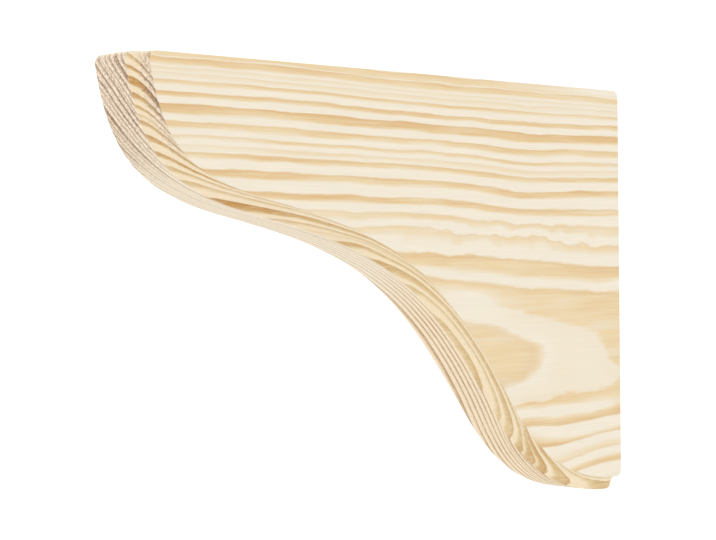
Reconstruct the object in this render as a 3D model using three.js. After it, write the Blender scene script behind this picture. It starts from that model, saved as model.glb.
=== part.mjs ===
// Wooden corbel bracket that carries a shelf or a beam end, sawn from one softwood board.
// Its flat back stands against the wall and its flat top carries the load. The front edge falls
// from the tip to the foot in a double curve, and a small cove runs along both of its arrises.
// Millimetres, +Z up, the tip toward -Y. The origin is the middle of the back face.
import * as THREE from 'three';

const depth = 240; // wall to tip
const height = 160; // foot to top
const thickness = 27; // board
const coveRadius = 5.4; // quarter hollow along each front arris, centred on the arris
const cornerRadius = 3; // the three corners of the outline, seen from the side

// The front outline is a free form: it passes from the tip through two turning points to the foot.
// Each point is a share of the depth out from the wall and a share of the height down from the
// top. Its fall is the steepness of the outline there, in degrees when depth and height are both
// one. The reaches say how far the curve keeps that direction before and after the point.
const tip = { out: 1, down: 0, fall: 84.1, after: 0.2145 };
const hollow = { out: 0.767, down: 0.324, fall: 17.1, before: 0.166, after: 0.2716 };
const belly = { out: 0.305, down: 0.751, fall: 62.6, before: 0.2961, after: 0.1027 };
const foot = { out: 0, down: 1, fall: 0, before: 0.189 };

const stretchSteps = 22; // facets in each of the three stretches of the outline
const coveSteps = 7; // facets across a cove
const cornerSteps = 5; // facets round a corner
const pine = new THREE.MeshStandardMaterial({ color: 0xecd9b0, roughness: 0.7, metalness: 0 });

const topZ = height / 2;
const footZ = -height / 2;
const halfThickness = thickness / 2;

// A place on the side view, as (y, z), from shares of the depth and the height.
function place(out, down) {
  return new THREE.Vector2(-out * depth, topZ - down * height);
}

function reach(point, length) {
  const fall = THREE.MathUtils.degToRad(point.fall);
  return place(point.out - length * Math.cos(fall), point.down + length * Math.sin(fall));
}

function stretch(from, to) {
  return new THREE.CubicBezierCurve(
    place(from.out, from.down), reach(from, from.after), reach(to, -to.before), place(to.out, to.down));
}

const stretches = [stretch(tip, hollow), stretch(hollow, belly), stretch(belly, foot)];

// The outline at u, from 0 at the tip to 3 at the foot, moved into the board by inset.
function frontPoint(u, inset) {
  const index = Math.min(Math.floor(u), stretches.length - 1);
  const point = stretches[index].getPoint(u - index);
  const along = stretches[index].getTangent(u - index);
  const inward = new THREE.Vector2(-along.y, along.x);
  return { point: point.addScaledVector(inward, inset), inward };
}

// Where the moved outline crosses a level line: beyond(point) is false before it and true after it.
function crossing(inset, low, high, beyond) {
  for (let i = 0; i < 50; i += 1) {
    const middle = (low + high) / 2;
    if (beyond(frontPoint(middle, inset).point)) high = middle;
    else low = middle;
  }
  return (low + high) / 2;
}

function arc(centre, radius, from, to) {
  const points = [];
  for (let i = 0; i <= cornerSteps; i += 1) {
    const angle = from + ((to - from) * i) / cornerSteps;
    points.push(new THREE.Vector2(
      centre.x + radius * Math.cos(angle), centre.y + radius * Math.sin(angle)));
  }
  return points;
}

// The closed outline of the board where its front edge is set back by inset. It runs from the
// top of the back, along the top to the tip, down the front edge to the foot and up the back.
function boardOutline(inset) {
  const last = stretches.length;
  const arcInset = inset + cornerRadius;
  const tipU = crossing(arcInset, 0, 1, (p) => p.y < topZ - cornerRadius);
  const footU = crossing(arcInset, last - 1, last, (p) => p.x > -cornerRadius);
  const tipCentre = frontPoint(tipU, arcInset);
  const footCentre = frontPoint(footU, arcInset);
  const backCentre = new THREE.Vector2(-cornerRadius, topZ - cornerRadius);
  const outAt = (place) => Math.atan2(-place.inward.y, -place.inward.x);
  const full = Math.PI * 2;

  const points = arc(backCentre, cornerRadius, 0, Math.PI / 2);
  points.push(...arc(tipCentre.point, cornerRadius, Math.PI / 2, (outAt(tipCentre) + full) % full));
  const steps = last * stretchSteps;
  for (let i = 1; i < steps; i += 1) {
    points.push(frontPoint(tipU + ((footU - tipU) * i) / steps, inset).point);
  }
  points.push(...arc(footCentre.point, cornerRadius, outAt(footCentre), 0));
  return points;
}

// The outline's set-back across the thickness: full at both sides, none between the coves.
function levels() {
  const side = [];
  for (let i = 0; i <= coveSteps; i += 1) {
    const angle = (Math.PI / 2) * (i / coveSteps);
    side.push({
      x: halfThickness - coveRadius * Math.sin(angle), inset: coveRadius * Math.cos(angle) });
  }
  const otherSide = side.map((level) => ({ x: -level.x, inset: level.inset }));
  return [...otherSide, ...side.reverse()];
}

function bracketGeometry() {
  const rings = levels().map((level) => ({ x: level.x, outline: boardOutline(level.inset) }));
  const count = rings[0].outline.length;
  const position = [];
  const index = [];
  for (const ring of rings) {
    for (const point of ring.outline) position.push(ring.x, point.x, point.y);
  }
  for (let r = 0; r + 1 < rings.length; r += 1) {
    for (let i = 0; i < count; i += 1) {
      const near = r * count + i;
      const nearNext = r * count + ((i + 1) % count);
      index.push(near, nearNext, near + count, nearNext, nearNext + count, near + count);
    }
  }
  const lastStart = (rings.length - 1) * count;
  for (const [a, b, c] of THREE.ShapeUtils.triangulateShape(rings[0].outline, [])) {
    index.push(c, b, a);
  }
  for (const [a, b, c] of THREE.ShapeUtils.triangulateShape(rings[rings.length - 1].outline, [])) {
    index.push(lastStart + a, lastStart + b, lastStart + c);
  }
  const geometry = new THREE.BufferGeometry();
  geometry.setAttribute('position', new THREE.Float32BufferAttribute(position, 3));
  geometry.setIndex(index);
  geometry.computeVertexNormals();
  return geometry;
}

const corbel = new THREE.Group();
const bracket = new THREE.Mesh(bracketGeometry(), pine);
bracket.name = 'bracket';
corbel.add(bracket);

export default corbel;
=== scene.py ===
import math

import bpy
from mathutils import Matrix, Vector


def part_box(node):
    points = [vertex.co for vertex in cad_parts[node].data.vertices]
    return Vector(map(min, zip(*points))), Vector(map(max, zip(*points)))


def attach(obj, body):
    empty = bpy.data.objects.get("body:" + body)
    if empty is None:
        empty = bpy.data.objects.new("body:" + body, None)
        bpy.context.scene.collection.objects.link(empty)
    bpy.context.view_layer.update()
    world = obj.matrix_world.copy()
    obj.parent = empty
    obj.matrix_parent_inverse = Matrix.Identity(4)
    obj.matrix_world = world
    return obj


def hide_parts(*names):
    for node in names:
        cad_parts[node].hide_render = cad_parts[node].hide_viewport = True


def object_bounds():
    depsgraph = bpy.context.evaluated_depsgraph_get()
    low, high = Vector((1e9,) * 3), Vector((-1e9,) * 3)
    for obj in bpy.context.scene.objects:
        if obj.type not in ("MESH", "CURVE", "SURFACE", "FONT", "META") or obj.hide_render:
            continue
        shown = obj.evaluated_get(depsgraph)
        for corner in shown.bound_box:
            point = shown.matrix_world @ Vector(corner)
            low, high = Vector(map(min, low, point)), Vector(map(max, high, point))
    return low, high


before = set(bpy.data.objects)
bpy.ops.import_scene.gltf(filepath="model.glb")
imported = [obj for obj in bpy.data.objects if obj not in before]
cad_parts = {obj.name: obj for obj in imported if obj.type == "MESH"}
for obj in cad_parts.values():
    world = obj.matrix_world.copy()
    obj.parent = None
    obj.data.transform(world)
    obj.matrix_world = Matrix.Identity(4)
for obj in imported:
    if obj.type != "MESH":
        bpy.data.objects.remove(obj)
cad_low, cad_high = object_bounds()

MM = 0.001

# Sizes of the board, in metres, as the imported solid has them
DEPTH = 240 * MM  # wall to tip
HEIGHT = 160 * MM  # foot to top
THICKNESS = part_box("bracket")[1].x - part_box("bracket")[0].x
HALF_THICKNESS = THICKNESS / 2
TOP = HEIGHT / 2
COVE_RADIUS = 5.4 * MM
CORNER_RADIUS = 3 * MM  # the three corners of the outline, seen from the side
ARRIS_RADIUS = 0.25 * MM  # sandpaper has just taken the edge off every arris

# The front outline: shares of depth out and of height down, its fall in degrees, and its reaches
TIP = {"out": 1, "down": 0, "fall": 84.1, "after": 0.2145}
HOLLOW = {"out": 0.767, "down": 0.324, "fall": 17.1, "before": 0.166, "after": 0.2716}
BELLY = {"out": 0.305, "down": 0.751, "fall": 62.6, "before": 0.2961, "after": 0.1027}
FOOT = {"out": 0, "down": 1, "fall": 0, "before": 0.189}

CURVE_STEPS = 186  # facets along the front edge
HALF_CORNER_STEPS = 6  # facets in half of a rounded corner
BACK_CORNER_STEPS = 12
BACK_STEPS = 70
TOP_STEPS = CURVE_STEPS - BACK_CORNER_STEPS - BACK_STEPS  # both rows of points are equally long
COVE_STEPS = 14
ARRIS_STEPS = 4
BAND_STEPS = 8
FACE_STEPS = 20  # rows of faces between the front edge and the top and back edges
HALVINGS = 50  # how often a search halves its span
SHARP_ANGLE = math.radians(9)  # facets of a curve or a cove turn by less, those of an arris by more


def outline_place(out, down):
    """A place on the side view, as (y, z), from shares of the depth and the height."""
    return Vector((-out * DEPTH, TOP - down * HEIGHT))


def reach(point, length):
    """Where a curve's control point stands, along the outline's fall at one of its named points."""
    fall = math.radians(point["fall"])
    out = point["out"] - length * math.cos(fall)
    down = point["down"] + length * math.sin(fall)
    return outline_place(out, down)


def stretch(start, end):
    """The four control points of one stretch of the outline."""
    return (outline_place(start["out"], start["down"]), reach(start, start["after"]),
            reach(end, -end["before"]), outline_place(end["out"], end["down"]))


STRETCHES = (stretch(TIP, HOLLOW), stretch(HOLLOW, BELLY), stretch(BELLY, FOOT))


def front_point(u, inset):
    """The outline at u, from 0 at the tip to 3 at the foot, moved into the board, and its inward side."""
    index = min(int(u), len(STRETCHES) - 1)
    t = u - index
    a, b, c, d = STRETCHES[index]
    s = 1 - t
    point = a * s ** 3 + b * (3 * s * s * t) + c * (3 * s * t * t) + d * t ** 3
    along = (b - a) * (s * s) + (c - b) * (2 * s * t) + (d - c) * (t * t)
    inward = Vector((-along.y, along.x)).normalized()
    return point + inward * inset, inward


def crossing(inset, low, high, beyond):
    """Where the moved outline crosses a level line: beyond is false before it and true after it."""
    for _ in range(HALVINGS):
        middle = (low + high) / 2
        if beyond(front_point(middle, inset)[0]):
            high = middle
        else:
            low = middle
    return (low + high) / 2


def arc(centre, radius, start, end, steps):
    angles = [start + (end - start) * i / steps for i in range(steps + 1)]
    return [centre + Vector((math.cos(a), math.sin(a))) * radius for a in angles]


def line(start, end, steps):
    """Points between start and end, without either of them."""
    return [start.lerp(end, i / steps) for i in range(1, steps)]


def board_outline(inset, edge):
    """Two point rows from the middle of the tip's corner to the middle of the foot's corner.

    The first follows the front edge, set back by inset. The second goes along the top and down
    the back, both set back by edge.
    """
    level = TOP - edge - CORNER_RADIUS
    upright = -edge - CORNER_RADIUS
    last = len(STRETCHES)
    arc_inset = inset + CORNER_RADIUS
    tip_u = crossing(arc_inset, 0, 1, lambda p: p.y < level)
    foot_u = crossing(arc_inset, last - 1, last, lambda p: p.x > upright)
    tip_centre, tip_in = front_point(tip_u, arc_inset)
    foot_centre, foot_in = front_point(foot_u, arc_inset)
    back_centre = Vector((upright, level))

    quarter = math.pi / 2
    tip_out = math.atan2(-tip_in.y, -tip_in.x) % math.tau
    tip_middle = (tip_out + quarter) / 2
    foot_out = math.atan2(-foot_in.y, -foot_in.x)
    foot_middle = foot_out / 2

    steps = HALF_CORNER_STEPS
    front = arc(tip_centre, CORNER_RADIUS, tip_middle, tip_out, steps)
    for i in range(1, CURVE_STEPS):
        front.append(front_point(tip_u + (foot_u - tip_u) * i / CURVE_STEPS, inset)[0])
    front += arc(foot_centre, CORNER_RADIUS, foot_out, foot_middle, steps)

    rear = arc(tip_centre, CORNER_RADIUS, tip_middle, quarter, steps)
    corner = arc(back_centre, CORNER_RADIUS, quarter, 0, BACK_CORNER_STEPS)
    foot = arc(foot_centre, CORNER_RADIUS, 0, foot_middle, steps)
    rear += line(rear[-1], corner[0], TOP_STEPS) + corner
    rear += line(corner[-1], foot[0], BACK_STEPS) + foot
    return front, rear


def side_levels():
    """(x in from the side face, set-back of the front edge, set-back of the top and the back).

    They run from the side face over its eased arris, through the cove and over the band's arris.
    The cove is centred on the board's sharp corner, so both arrises are square before they are eased.
    """
    cove, arris = COVE_RADIUS, ARRIS_RADIUS
    quarter = math.pi / 2
    far = math.sqrt((cove + arris) ** 2 - arris ** 2)
    meet = math.atan2(arris, far)  # the angle round the cove's centre where an arris touches it
    levels = []
    for i in range(ARRIS_STEPS):
        turn = (quarter - meet) * i / ARRIS_STEPS
        across, along = arris * math.cos(turn), arris * math.sin(turn)
        levels.append((arris - across, far - along, arris - along))
    for i in range(COVE_STEPS + 1):
        turn = meet + (quarter - 2 * meet) * i / COVE_STEPS
        levels.append((cove * math.sin(turn), cove * math.cos(turn), 0))
    for i in range(1, ARRIS_STEPS + 1):
        turn = meet + (quarter - meet) * i / ARRIS_STEPS
        levels.append((far - arris * math.cos(turn), arris - arris * math.sin(turn), 0))
    return levels


def all_levels():
    """(x, set-back of the front edge, set-back of the top and the back), from the near side to the far."""
    near = [(HALF_THICKNESS - x, inset, edge) for x, inset, edge in side_levels()]
    far = [(-x, inset, edge) for x, inset, edge in near]
    edge_x = near[-1][0]
    band = [(edge_x - 2 * edge_x * i / BAND_STEPS, 0, 0) for i in range(1, BAND_STEPS)]
    return near + band + far[::-1]


def in_box(x, y, z):
    """A point brought back to the solid's box, whose facets cut the tip's round corner a hair short."""
    return tuple(min(max(at, low), high) for at, low, high in zip((x, y, z), cad_low, cad_high))


def ring_points(rings):
    """The rings' vertices, and for each of them its share in the front band and in the coves."""
    vertices, band_share, cove_share = [], [], []
    for x, front, rear in rings:
        on_band = abs(x) < HALF_THICKNESS - COVE_RADIUS
        on_side = abs(x) > HALF_THICKNESS - ARRIS_RADIUS
        for i, p in enumerate(front + rear[-2:0:-1]):
            vertices.append(in_box(x, p.x, p.y))
            on_front = i < len(front)
            band_share.append(1.0 if on_front and on_band else 0.0)
            cove_share.append(1.0 if on_front and not on_band and not on_side else 0.0)
    return vertices, band_share, cove_share


def ring_faces(ring_count, around):
    """The faces between each ring and the next."""
    faces = []
    for r in range(ring_count - 1):
        for i in range(around):
            a, b = r * around + i, r * around + (i + 1) % around
            faces.append((a, a + around, b + around, b))
    return faces


def add_side_face(vertices, faces, ring, start, flipped):
    """Fills the outline of the first or last ring, whose vertices begin at start, with a grid."""
    x, front, rear = ring
    count = len(front) - 1
    inner = {}
    for i in range(1, count):
        for j in range(1, FACE_STEPS):
            p = front[i].lerp(rear[i], j / FACE_STEPS)
            inner[i, j] = len(vertices)
            vertices.append(in_box(x, p.x, p.y))

    def index(i, j):
        if i in (0, count) or j == 0:
            return start + i
        if j == FACE_STEPS:
            return start + 2 * count - i
        return inner[i, j]

    for i in range(count):
        for j in range(FACE_STEPS):
            corners = (index(i, j), index(i + 1, j), index(i + 1, j + 1), index(i, j + 1))
            face = list(dict.fromkeys(corners))
            if len(face) > 2:
                faces.append(tuple(face[::-1] if flipped else face))


def corbel_mesh():
    """The board with eased arrises, as rings of points across its thickness and a grid on each side."""
    rings = [(x, *board_outline(inset, edge)) for x, inset, edge in all_levels()]
    around = 2 * (len(rings[0][1]) - 1)
    vertices, band_share, cove_share = ring_points(rings)
    faces = ring_faces(len(rings), around)
    add_side_face(vertices, faces, rings[0], 0, flipped=False)
    add_side_face(vertices, faces, rings[-1], (len(rings) - 1) * around, flipped=True)

    mesh = bpy.data.meshes.new("corbel")
    mesh.from_pydata(vertices, [], faces)
    mesh.validate()
    for polygon in mesh.polygons:
        polygon.use_smooth = True
    mesh.set_sharp_from_angle(angle=SHARP_ANGLE)
    for name, shares in (("band", band_share), ("cove", cove_share)):
        shares += [0.0] * (len(vertices) - len(shares))
        mesh.attributes.new(name, "FLOAT", "POINT").data.foreach_set("value", shares)
    return mesh


# The tree that the board was cut from. Its growth rings run round a line behind the board's far
# side, so the near side is almost flat-sawn at mid height and shows straight stripes above and
# below. All values are in millimetres.
PITH = (-137, 0, -24)  # a point on the tree's axis, which runs along Y
MIDDLE_RING = 150.5  # distance of the ring that just grazes the near side

# Each ring: the outer edge of its dark latewood, that latewood's width, how dark it is, and the
# share of the width over which it fades, inward
RINGS = (
    (-25.0, 1.4, 0.7, 0.4), (-22.4, 1.2, 0.5, 0.4), (-18.5, 2.2, 1.0, 0.5), (-15.4, 1.3, 0.8, 0.5),
    (-12.6, 1.3, 0.85, 0.5), (-10.0, 1.2, 0.8, 0.5), (-7.6, 1.2, 0.75, 0.5), (-5.3, 1.1, 0.7, 0.5),
    (-3.6, 0.9, 0.45, 0.5), (-1.6, 1.6, 0.75, 0.4), (0.1, 1.0, 0.55, 0.4), (0.95, 0.8, 0.08, 0.3),
    (2.3, 1.5, 0.6, 0.1), (4.45, 1.6, 1.0, 0.35), (6.6, 1.2, 0.38, 0.5), (8.4, 1.0, 0.42, 0.4),
    (10.3, 1.0, 0.72, 0.35), (12.9, 1.2, 0.76, 0.4), (15.1, 1.0, 0.66, 0.4), (16.2, 0.4, 0.25, 0.5),
    (17.6, 0.8, 0.5, 0.5), (19.7, 1.3, 0.62, 0.4), (22.55, 1.8, 0.95, 0.3), (24.6, 1.0, 0.74, 0.4),
    (26.6, 1.0, 0.54, 0.5), (27.9, 0.4, 0.25, 0.5), (28.9, 0.4, 0.22, 0.5), (30.7, 1.6, 0.64, 0.4),
    (32.3, 1.5, 0.55, 0.1), (34.5, 1.2, 0.6, 0.5), (36.5, 1.2, 0.6, 0.5),
)
RINGS_PER_RAMP = 6
RAMP_MARGIN = 0.5  # how far a ramp goes on beyond its first and its last ring
FADED_IN = 0.85  # the latewood's darkness where its fade ends, as a share of its full darkness
FADE_END = 0.42  # inward of the outer edge, the last place where that fade can end
LINE_START = 0.4  # inward of the outer edge, where latewood is full and its thin line sets in
LINE_FULL = 0.14  # inward of the outer edge, where that line is darkest
LINE_END = 0.08  # beyond the outer edge, where earlywood begins

WIDE = 1e4  # a spread so wide that nothing changes along that axis
SWELLS = (  # places where the stem swells: centre, spread and how far the rings are pushed out
    ((0, 4, -22), (WIDE, 14, 13), 1.45),
    ((0, -32, -24), (WIDE, 12, 13), 0.3),
    ((0, -34, -24), (WIDE, 7, 7), 0.25),
    ((0, -60, -24), (WIDE, 9, 9), -0.15),
    ((13, -19, -11), (5, 9, 3.5), 0.25),
    ((13, -48, -11), (5, 10, 3.5), 0.1),
    ((13, -4, -32.5), (5, 12, 4), -0.38),
    ((13, -25, -50), (5, 40, 3.5), -0.18),
    ((13, 0, 3), (5, 7, 4), -0.25),
    ((0, -57, 44), (WIDE, 15, 11), 0.55),
    ((0, -115, 70), (WIDE, 28, 14), 0.65),
    ((13, 0, -70), (5, 25, 10), 2.8),
    ((13, -15, -49), (5, 30, 8), -0.4),
    ((13, 0, -54.5), (5, 12, 3), 0.45),
    ((13, 0, -68.5), (5, 14, 4), -0.6),
    ((9, -60, -59), (4, 9, 6), 1.0),
    ((13, -5, 14), (6, 22, 9), 0.8),
    ((13, -20, 18), (4, 7, 3.5), 0.35),
    ((13, -105, 16), (4, 14, 5), 0.4),
    ((13, -125, 25), (4, 5, 3), -0.5),
    ((13, -98, 24), (4, 4, 3), -0.25),
)
PATCHES = (  # places by ring distance, y and z, their spreads, and how much less latewood is there
    ((0.9, -91, -5), (0.7, 11, 5), 2.2),
    ((1.35, -180, 20), (0.4, 50, WIDE), 1.0),
    ((3.6, -65, 11), (1.2, 60, 12), 0.4),
    ((3.7, -140, 25), (1.2, 22, 12), 0.35),
    ((-2.4, -95, 0), (1, 20, WIDE), 0.3),
    ((-5.6, -98, -5), (1, 10, WIDE), 0.35),
    ((-0.1, -62, -23), (0.5, 12, 9), 0.25),
    ((1.25, -30, -47), (0.25, 45, 2.6), 2.2),
    ((0.9, -50, -41.5), (0.2, 12, 3), -0.8),
    ((0.8, -28, -41), (0.15, 20, 3), -0.3),
    ((1.15, -45, -64), (0.22, 15, 6), 1.5),
    ((1.95, -25, -49), (0.4, 40, 4), -0.65),
    ((2.0, -48, -64), (0.5, 20, 6), -1.3),
    ((0.6, -52, -63), (0.25, 14, 6), -8),
    ((3.2, -20, -54), (0.8, 30, 4), 1.4),
    ((3.7, -30, -74), (1, 20, 5), 0.25),
    ((6.1, -6, -77), (0.8, 14, 4), -1.1),
    ((8.0, -20, -68.5), (0.6, 40, 4), -0.7),
    ((9.8, -15, -72), (0.7, 30, 5), 1.0),
    ((22, -122, 62), (1.2, 14, 6), -0.25),
    ((31.7, 0, 80), (0.7, 32, WIDE), 1.2),
)

# Noises: the size in millimetres of one wave across, along and up the board, detail, roughness
LONG_WAVE = ((30, 26, 9), 2.0, 0.45)
SHORT_WAVE = ((9, 11, 4), 2.0, 0.5)
RIPPLE = ((16, 13, 9), 2.0, 0.5)
FIBRE = ((0.6, 18, 0.6), 3.0, 0.6)
STREAK = ((1.3, 45, 1.3), 3.0, 0.6)
PATCHY = ((20, 45, 7), 1.0, 0.5)
PORES = ((0.7, 4, 0.7), 2.0, 0.7)
NOISE_SPAN = (0.25, 0.75)  # the part of a noise's range that is spread out to go from -1 to 1

# How far the noises move the rings, in millimetres. The ripples run along one curly streak, given
# like a swell by its centre, its spread and their height there.
LONG_WAVE_HEIGHT = 0.2
SHORT_WAVE_HEIGHT = 0.09
STREAK_HEIGHT = 0.13
FIBRE_HEIGHT = 0.08
RIPPLED = ((0, -60, 21), (WIDE, 55, 4.5), 0.65)

# Ramps: where each starts and ends, and its value at either end. Places are in millimetres.
TAPER_MIDDLE = (-110, -55, -1.045, 0)  # how far the stem's taper moves the rings, by y
TAPER_TIP = (-240, -110, -0.52, 0)  # the same, nearer the tip
TAPER_SHARE = (45, 95, 1, 0.41)  # how much of the taper is left, by z
WAVE_SHARE = (0, 90, 0.4, 1)  # how much of the waves shows, by height off the pith
RAGGED_SHARE = (0, 90, 0.3, 1)  # the same for the rings' ragged edges
ROUGH_TIP = (-190, -120, 1, 0.25)  # how rough the saw left the end grain, by y
ROUGH_BACK = (-3, -1, 0, 0.8)  # the same at the back
BELLY_SHARE = (-125, -100, 0, 1)  # from the hollow's colours, painted paler and flatter as bounce light, to the belly's, by y
LOWER_COVE_SHARE = (-155, -110, 0, 1)  # from the upper cove's colours to the lower's, by y
END_FACING = (0.5, 0.92, 0, 1)  # how much end grain shows, by how far a face turns to the grain


class Graph:
    """Adds shader nodes to a material and links them."""

    def __init__(self, material):
        material.use_nodes = True
        self.tree = material.node_tree
        self.tree.nodes.clear()

    def node(self, kind, *values, **settings):
        made = self.tree.nodes.new("ShaderNode" + kind)
        for name, value in settings.items():
            setattr(made, name, value)
        for socket, value in zip(made.inputs, values):
            self.feed(socket, value)
        return made

    def feed(self, socket, value):
        if isinstance(value, bpy.types.NodeSocket):
            self.tree.links.new(value, socket)
        else:
            socket.default_value = value

    def math(self, operation, *values, clamp=False):
        return self.node("Math", *values, operation=operation, use_clamp=clamp).outputs[0]

    def add(self, first, *others):
        for other in others:
            first = self.math("ADD", first, other)
        return first

    def times(self, a, b, clamp=False):
        return self.math("MULTIPLY", a, b, clamp=clamp)

    def vector(self, operation, *values):
        made = self.node("VectorMath", *values, operation=operation)
        return made.outputs["Value" if operation in ("LENGTH", "DOT_PRODUCT") else "Vector"]

    def remap(self, value, low, high, to_low, to_high, smooth=False):
        made = self.node("MapRange", value, low, high, to_low, to_high)
        if smooth:
            made.interpolation_type = "SMOOTHSTEP"
        return made.outputs[0]

    def noise(self, place, size, detail, roughness):
        """A noise from -1 to 1, whose waves have the given size along each axis."""
        made = self.node("TexNoise", noise_dimensions="3D")
        waves_per_mm = tuple(1 / length for length in size)
        self.feed(made.inputs["Vector"], self.vector("MULTIPLY", place, waves_per_mm))
        made.inputs["Scale"].default_value = 1
        made.inputs["Detail"].default_value = detail
        made.inputs["Roughness"].default_value = roughness
        return self.remap(made.outputs[0], *NOISE_SPAN, -1, 1)

    def mix(self, factor, a, b, blend="MIX"):
        made = self.node("Mix", data_type="RGBA", blend_type=blend)
        for name, value in (("Factor_Float", factor), ("A_Color", a), ("B_Color", b)):
            self.feed(next(socket for socket in made.inputs if socket.identifier == name), value)
        return next(socket for socket in made.outputs if socket.identifier == "Result_Color")


def swell(graph, place, centre, spread, amount):
    """How far a smooth local swelling of the stem pushes the rings out at a place."""
    apart = graph.vector("DIVIDE", graph.vector("SUBTRACT", place, centre), spread)
    square = graph.vector("DOT_PRODUCT", apart, apart)
    return graph.times(graph.math("EXPONENT", graph.times(square, -0.5)), amount)


def ring_distance(graph, place, y, z, off_middle):
    """Distance outward from the ring that grazes the near side, with the stem's irregularities."""
    across_axis = graph.vector("MULTIPLY", graph.vector("SUBTRACT", place, PITH), (1, 0, 1))
    distance = graph.math("SUBTRACT", graph.vector("LENGTH", across_axis), MIDDLE_RING)
    taper = graph.add(graph.remap(y, *TAPER_MIDDLE), graph.remap(y, *TAPER_TIP))
    distance = graph.add(distance, graph.times(taper, graph.remap(z, *TAPER_SHARE, smooth=True)))
    for centre, spread, amount in SWELLS:
        distance = graph.add(distance, swell(graph, place, centre, spread, amount))
    long_wave = graph.times(graph.noise(place, *LONG_WAVE), LONG_WAVE_HEIGHT)
    short_wave = graph.times(graph.noise(place, *SHORT_WAVE), SHORT_WAVE_HEIGHT)
    waves = graph.times(graph.add(long_wave, short_wave), graph.remap(off_middle, *WAVE_SHARE))
    ripples = graph.times(graph.noise(place, *RIPPLE), swell(graph, place, *RIPPLED))
    return graph.add(distance, graph.add(waves, ripples))


def ramp_stops(ring):
    """(ring distance, body, edge line) for each stop of one ring on its ramp."""
    edge, width, dark, fade = ring
    faded_in = min(edge - width * (1 - fade), edge - FADE_END)
    return ((edge - width, 0, 0), (faded_in, FADED_IN * dark, 0), (edge - LINE_START, dark, 0),
            (edge - LINE_FULL, dark, dark), (edge + LINE_END, 0, 0))


def ramp_of_rings(graph, distance, rings):
    """The latewood's body and edge line for a few rings that follow each other."""
    low = rings[0][0] - rings[0][1] - RAMP_MARGIN
    high = rings[-1][0] + RAMP_MARGIN
    ramp = graph.node("ValToRGB", graph.remap(distance, low, high, 0, 1))
    elements = ramp.color_ramp.elements
    elements.remove(elements[1])
    elements[0].position = 0
    elements[0].color = (0, 0, 0, 1)
    for ring in rings:
        for at, body, edge_line in ramp_stops(ring):
            elements.new((at - low) / (high - low)).color = (body, edge_line, 0, 1)
    parts = graph.node("SeparateColor", ramp.outputs[0]).outputs
    return parts[0], parts[1]


def latewood(graph, distance):
    """Two shares: the latewood's body, and the thin dark line at its sharp outer edge."""
    body, edge_line = ramp_of_rings(graph, distance, RINGS[:RINGS_PER_RAMP])
    for first in range(RINGS_PER_RAMP, len(RINGS), RINGS_PER_RAMP):
        more_body, more_line = ramp_of_rings(graph, distance, RINGS[first:first + RINGS_PER_RAMP])
        body = graph.math("MAXIMUM", body, more_body)
        edge_line = graph.math("MAXIMUM", edge_line, more_line)
    return body, edge_line


def latewood_kept(graph, distance, y, z):
    """The share of latewood that is left by the patches: over 1 where they add to it."""
    ring_place = graph.node("CombineXYZ", distance, y, z).outputs[0]
    kept = 1.0
    for centre, spread, amount in PATCHES:
        kept = graph.math("SUBTRACT", kept, swell(graph, ring_place, centre, spread, amount))
    return graph.math("MAXIMUM", kept, 0)


PAPER_LEVEL = 1.12  # how bright a white sheet would be in the photograph's light

# What the wood looks like on a screen: earlywood, middling and full latewood, and a ring's thin edge
PLANED = ((243, 233, 213), (237, 213, 170), (227, 191, 140), (205, 158, 108))
BELLY_FACE = ((250, 229, 197), (228, 203, 164), (203, 172, 131), (158, 119, 80))
# the hollow's shades are painted paler and flatter than the belly's: painted bounce light on the downward
# face
HOLLOW_PAINTED_BOUNCE = ((247, 233, 209), (236, 219, 192), (220, 200, 170), (197, 170, 138))
UPPER_COVE = ((247, 229, 197), (222, 194, 146), (203, 153, 88), (165, 118, 68))
LOWER_COVE = ((248, 230, 197), (226, 200, 151), (214, 178, 124), (188, 142, 92))
END_GRAIN = ((238, 218, 194), (204, 178, 150), (172, 142, 114), (98, 72, 52))

MIDDLING = 0.5  # the share of latewood at which the middling colour shows
PLANED_LINE = 0.3  # how much of a ring's thin edge line shows on planed faces
COVE_LINE = 0.4  # the same in the coves
FIBRE_UNEVEN = 0.32  # how much the fibre noise varies the latewood's darkness
STREAK_UNEVEN = 0.36
PATCHY_UNEVEN = 0.25
FIBRE_SHADE = 0.035  # how much fibres lighten and darken the surface
ROUTED_SPECKLE = 0.035  # how much pores speckle the band and the coves
END_GRAIN_SPECKLE = 0.42

RELIEF_DEPTH = 0.05 * MM
RELIEF_STRENGTH = 0.35
LATEWOOD_RELIEF = 0.5
FIBRE_RELIEF = 0.25
WOOD_ROUGHNESS = 0.62
WOOD_SPECULAR = 0.3


def linear(value):
    """Linear light of a screen value from 0 to 255."""
    value /= 255
    return value / 12.92 if value <= 0.04045 else ((value + 0.055) / 1.055) ** 2.4


def as_seen(screen_colour):
    """The surface colour, in linear light, of what looks like this on a screen."""
    return (*(linear(value) / PAPER_LEVEL for value in screen_colour), 1)


def wood_colour(graph, body, edge_line, shades):
    """One kind of face's colour, from its four shades."""
    earlywood, middling, full, edge = (as_seen(shade) for shade in shades)
    colour = graph.mix(graph.remap(body, 0, MIDDLING, 0, 1), earlywood, middling)
    colour = graph.mix(graph.remap(body, MIDDLING, 1, 0, 1), colour, full)
    return graph.mix(edge_line, colour, edge)


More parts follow.
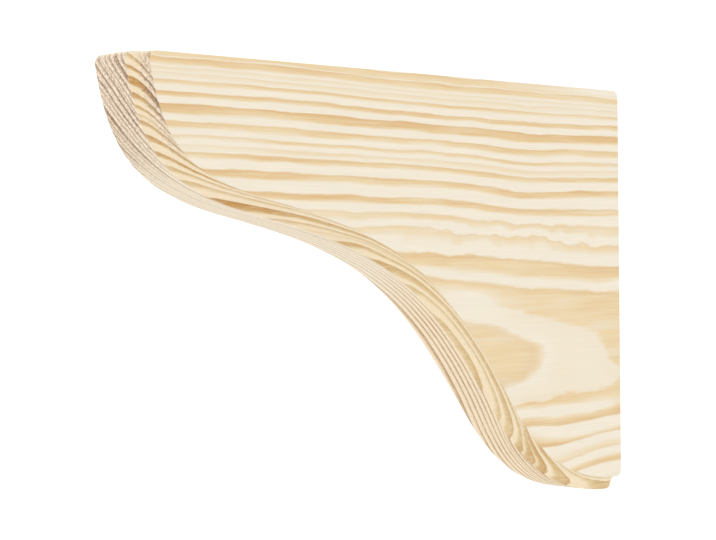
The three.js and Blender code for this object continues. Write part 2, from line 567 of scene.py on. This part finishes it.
def face_colour(graph, y, body, edge_line, on_band, on_cove, end_grain):
    """The wood's colour on each kind of face: planed, the front band, the coves and end grain. The band's
    hollow is painted paler and flatter than its belly, as painted bounce light.
    """
    cove_line = graph.times(edge_line, COVE_LINE)
    hollow_painted_bounce = wood_colour(graph, body, edge_line, HOLLOW_PAINTED_BOUNCE)
    belly = wood_colour(graph, body, edge_line, BELLY_FACE)
    # painted bounce light: the paler hollow shades fade into the belly's by y
    band = graph.mix(graph.remap(y, *BELLY_SHARE), hollow_painted_bounce, belly)
    upper_cove = wood_colour(graph, body, cove_line, UPPER_COVE)
    lower_cove = wood_colour(graph, body, cove_line, LOWER_COVE)
    cove = graph.mix(graph.remap(y, *LOWER_COVE_SHARE), upper_cove, lower_cove)
    colour = wood_colour(graph, body, graph.times(edge_line, PLANED_LINE), PLANED)
    colour = graph.mix(on_band, colour, band)
    colour = graph.mix(on_cove, colour, cove)
    return graph.mix(end_grain, colour, wood_colour(graph, body, edge_line, END_GRAIN))


def latewood_seen(graph, place, y, z, fibre, streak):
    """The latewood's body and edge line at a place, with ragged edges and uneven strength."""
    off_middle = graph.math("ABSOLUTE", graph.math("SUBTRACT", z, PITH[2]))
    distance = ring_distance(graph, place, y, z, off_middle)
    ragged = graph.add(graph.times(streak, STREAK_HEIGHT), graph.times(fibre, FIBRE_HEIGHT))
    ragged = graph.times(ragged, graph.remap(off_middle, *RAGGED_SHARE))
    body, edge_line = latewood(graph, graph.add(distance, ragged))
    kept = latewood_kept(graph, distance, y, z)
    uneven = graph.add(1.0, graph.times(fibre, FIBRE_UNEVEN), graph.times(streak, STREAK_UNEVEN))
    uneven = graph.add(uneven, graph.times(graph.noise(place, *PATCHY), PATCHY_UNEVEN))
    body = graph.times(graph.times(body, kept), uneven, clamp=True)
    return body, graph.times(edge_line, kept, clamp=True)


def end_grain_seen(graph, normal, y):
    """How much a face shows end grain: it has to face along the grain, and be rough from the saw."""
    endwise = graph.math("ABSOLUTE", graph.vector("DOT_PRODUCT", normal, (0, 1, 0)))
    rough_sawn = graph.math("MAXIMUM", graph.remap(y, *ROUGH_TIP), graph.remap(y, *ROUGH_BACK))
    return graph.times(graph.remap(endwise, *END_FACING), rough_sawn)


def pores_and_fibres(graph, place, fibre, routed, end_grain):
    """A grey to multiply the wood's colour by."""
    porous = graph.add(graph.times(routed, ROUTED_SPECKLE), graph.times(end_grain, END_GRAIN_SPECKLE))
    speckle = graph.times(graph.noise(place, *PORES), porous)
    shade = graph.add(1.0, graph.times(fibre, FIBRE_SHADE), speckle)
    return graph.node("CombineColor", shade, shade, shade).outputs[0]


def relief(graph, body, fibre):
    """The direction of the surface, where latewood and fibres stand out a little."""
    height = graph.add(graph.times(body, LATEWOOD_RELIEF), graph.times(fibre, FIBRE_RELIEF))
    bump = graph.node("Bump")
    bump.inputs["Strength"].default_value = RELIEF_STRENGTH
    bump.inputs["Distance"].default_value = RELIEF_DEPTH
    graph.feed(bump.inputs["Height"], height)
    return bump.outputs[0]


def pine():
    material = bpy.data.materials.new("pine")
    graph = Graph(material)
    coordinates = graph.node("TexCoord").outputs
    place = graph.vector("DIVIDE", coordinates["Object"], (MM, MM, MM))
    axes = graph.node("SeparateXYZ", place).outputs
    y, z = axes["Y"], axes["Z"]
    fibre = graph.noise(place, *FIBRE)
    streak = graph.noise(place, *STREAK)
    body, edge_line = latewood_seen(graph, place, y, z, fibre, streak)

    end_grain = end_grain_seen(graph, coordinates["Normal"], y)
    on_band = graph.node("Attribute", attribute_name="band").outputs["Fac"]
    on_cove = graph.node("Attribute", attribute_name="cove").outputs["Fac"]
    colour = face_colour(graph, y, body, edge_line, on_band, on_cove, end_grain)
    grey = pores_and_fibres(graph, place, fibre, graph.add(on_band, on_cove), end_grain)

    shader = graph.node("BsdfPrincipled")
    graph.feed(shader.inputs["Base Color"], graph.mix(1.0, colour, grey, "MULTIPLY"))
    shader.inputs["Roughness"].default_value = WOOD_ROUGHNESS
    shader.inputs["Specular IOR Level"].default_value = WOOD_SPECULAR
    graph.feed(shader.inputs["Normal"], relief(graph, body, fibre))
    graph.node("OutputMaterial", shader.outputs[0])
    return material


def make_corbel():
    corbel = bpy.data.objects.new("corbel", corbel_mesh())
    bpy.context.scene.collection.objects.link(corbel)
    corbel.data.materials.append(pine())
    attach(corbel, "root")
    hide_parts("bracket")


# The photograph's view: where the camera stands, where it looks, how it tilts
CAMERA_PLACE = Vector((0.46474, -0.57528, 0.01497))
CAMERA_AZIMUTH = math.radians(46.37)
CAMERA_RISE = math.radians(-0.451)
CAMERA_ROLL = math.radians(-0.609)
SENSOR_WIDTH = 36
FOCAL_LENGTH = 90.537
NEAREST_SEEN = 0.01
FARTHEST_SEEN = 100


def make_camera():
    data = bpy.data.cameras.new("camera")
    data.sensor_width = SENSOR_WIDTH
    data.lens = FOCAL_LENGTH
    data.clip_start = NEAREST_SEEN
    data.clip_end = FARTHEST_SEEN
    camera = bpy.data.objects.new("camera", data)
    bpy.context.scene.collection.objects.link(camera)
    level = math.cos(CAMERA_RISE)
    ahead = Vector((-math.sin(CAMERA_AZIMUTH) * level,
                    math.cos(CAMERA_AZIMUTH) * level,
                    math.sin(CAMERA_RISE)))
    flat_right = ahead.cross(Vector((0, 0, 1))).normalized()
    flat_up = flat_right.cross(ahead)
    right = flat_right * math.cos(CAMERA_ROLL) + flat_up * math.sin(CAMERA_ROLL)
    up = right.cross(ahead)
    turned = Matrix((right, up, -ahead)).transposed().to_4x4()
    camera.matrix_world = Matrix.Translation(CAMERA_PLACE) @ turned
    bpy.context.scene.camera = camera


# A white floor, far below the bracket
FLOOR_LEVEL = -0.75
FLOOR_SIZE = 6
FLOOR_COLOUR = (0.8, 0.8, 0.8, 1)
FLOOR_ROUGHNESS = 0.9
FLOOR_GLOW = 0.15
WHITE = (1, 1, 1, 1)


def make_floor():
    mesh = bpy.data.meshes.new("floor")
    half = FLOOR_SIZE / 2
    corners = [(x * half, y * half, FLOOR_LEVEL) for x, y in ((-1, -1), (1, -1), (1, 1), (-1, 1))]
    mesh.from_pydata(corners, [], [(0, 1, 2, 3)])
    floor = bpy.data.objects.new("floor", mesh)
    bpy.context.scene.collection.objects.link(floor)
    material = bpy.data.materials.new("floor_white")
    graph = Graph(material)
    shader = graph.node("BsdfPrincipled")
    shader.inputs["Base Color"].default_value = FLOOR_COLOUR
    shader.inputs["Roughness"].default_value = FLOOR_ROUGHNESS
    shader.inputs["Emission Color"].default_value = WHITE
    shader.inputs["Emission Strength"].default_value = FLOOR_GLOW
    graph.node("OutputMaterial", shader.outputs[0])
    mesh.materials.append(material)


SURROUND_STRENGTH = 1.14
KEY_PLACE = Vector((1.4, -1.0, 1.3))
KEY_AIM = Vector((0, -0.12, 0))  # the middle of the bracket's depth
KEY_SIZE = 1.2
KEY_POWER = 0.4


def make_light():
    """White surroundings, and one large weak lamp on the near side."""
    world = bpy.data.worlds.new("white_surround")
    world.use_nodes = True
    background = world.node_tree.nodes["Background"]
    background.inputs["Color"].default_value = WHITE
    background.inputs["Strength"].default_value = SURROUND_STRENGTH
    bpy.context.scene.world = world
    key_data = bpy.data.lights.new("key", "AREA")
    key_data.shape = "DISK"
    key_data.size = KEY_SIZE
    key_data.energy = KEY_POWER
    key = bpy.data.objects.new("key", key_data)
    key.location = KEY_PLACE
    key.rotation_mode = "QUATERNION"
    key.rotation_quaternion = (KEY_AIM - KEY_PLACE).to_track_quat("-Z", "Y")
    bpy.context.scene.collection.objects.link(key)


make_camera()
make_corbel()
make_floor()
make_light()
bpy.context.scene.view_settings.view_transform = "Standard"
